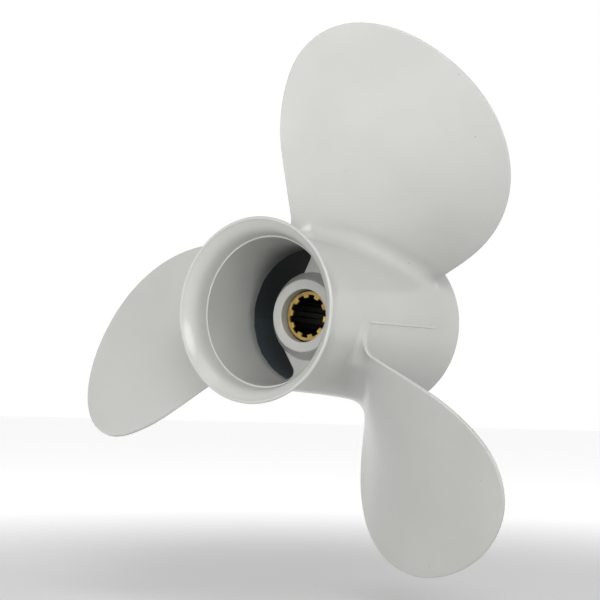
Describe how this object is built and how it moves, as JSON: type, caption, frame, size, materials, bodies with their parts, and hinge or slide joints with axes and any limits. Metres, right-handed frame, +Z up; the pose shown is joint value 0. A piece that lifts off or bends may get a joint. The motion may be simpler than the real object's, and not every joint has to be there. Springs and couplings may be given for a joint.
{
  "type": "boat propeller",
  "caption": "Outboard boat propeller: painted cast blades on a flared exhaust hub, with a rubber damper bush around a brass splined sleeve.",
  "frame": {"origin": "on the shaft axis, at the front thrust face of the brass sleeve", "axes": "+Y forward along the shaft axis, in the direction of thrust, out of the sleeve's thrust end; +Z up and +X to the right as seen from aft looking forward"},
  "size_m": [0.2203, 0.1063, 0.2288],
  "materials": {
    "marine_paint": "gloss marine enamel over cast aluminium, off-white",
    "bush_rubber": "matt black moulded rubber",
    "sleeve_brass": "machined and broached brass, slightly tarnished"
  },
  "bodies": {
    "drive_bush": {"brass_spline_sleeve": "sleeve_brass", "rubber_damper_bush": "bush_rubber"},
    "propeller": {"propeller_casting": "marine_paint"}
  },
  "joints": [
    {"name": "hub_slip", "type": "hinge", "parent": "drive_bush", "child": "propeller", "pos_m": [0, 0, 0], "axis": [0, 1, 0], "continuous": true}
  ]
}
